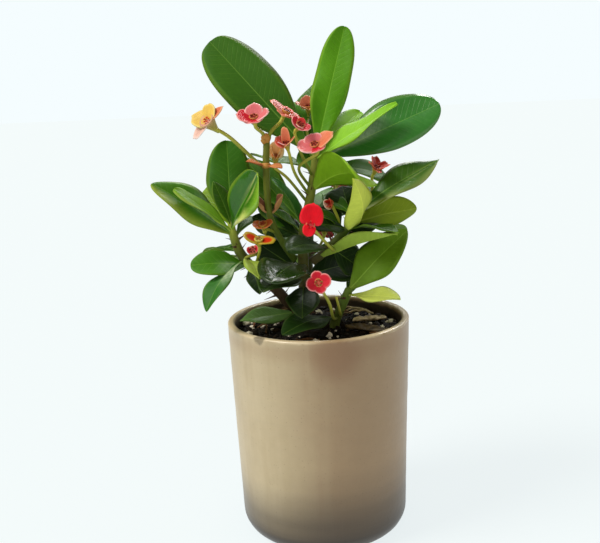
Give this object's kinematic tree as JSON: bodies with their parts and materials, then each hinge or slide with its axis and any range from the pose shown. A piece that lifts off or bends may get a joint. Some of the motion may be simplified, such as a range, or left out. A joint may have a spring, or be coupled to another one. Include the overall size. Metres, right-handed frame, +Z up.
{
  "type": "crown of thorns plant",
  "caption": "Potted crown of thorns: thorny woody stems, spoon-shaped glossy leaves and small red to salmon bracts, standing in soil in a plain glazed round pot",
  "frame": {"origin": "centre of the pot's flat base", "axes": "+Z up along the pot's axis, -Y to the front that the picture shows, +X to the picture's right"},
  "size_m": [0.1516, 0.1201, 0.2742],
  "materials": {
    "glaze": "glossy stoneware glaze, lightly clouded",
    "potting_mix": "loose dark potting mix with pale grains",
    "bark": "rough grey-brown bark",
    "leaf": "waxy, glossy upper side and paler dull underside",
    "flower_stem": "smooth olive to red-brown skin",
    "bract_red": "satin red with paler rim",
    "bract_salmon": "satin salmon with paler rim",
    "bract_yellow": "satin pale yellow with pink",
    "dead_leaf": "dry, curled and dull"
  },
  "bodies": {
    "root": {"bloom_back_left": "bract_red", "bloom_back_low": "bract_red", "bloom_back_right": "bract_red", "bloom_broad_salmon": "bract_salmon", "bloom_dried": "bract_salmon", "bloom_fork_salmon": "bract_salmon", "bloom_front_crimson": "bract_red", "bloom_inner_red": "bract_red", "bloom_left_pink": "bract_red", "bloom_low_red": "bract_red", "bloom_middle_dark": "bract_red", "bloom_outer_yellow": "bract_yellow", "bloom_right_dark": "bract_red", "bloom_small_pink": "bract_red", "bloom_top_red": "bract_red", "bloom_top_salmon": "bract_salmon", "bloom_twin_orange": "bract_salmon", "bloom_under_fork": "bract_red", "dry_leaf_far": "dead_leaf", "dry_leaf_left": "dead_leaf", "dry_leaf_near": "dead_leaf", "pot": "glaze", "shoot_back": "leaf", "shoot_centre": "leaf", "shoot_left": "leaf", "shoot_low": "leaf", "shoot_right": "leaf", "soil": "potting_mix", "stem_flowering": "flower_stem", "stem_woody": "bark"}
  },
  "joints": []
}
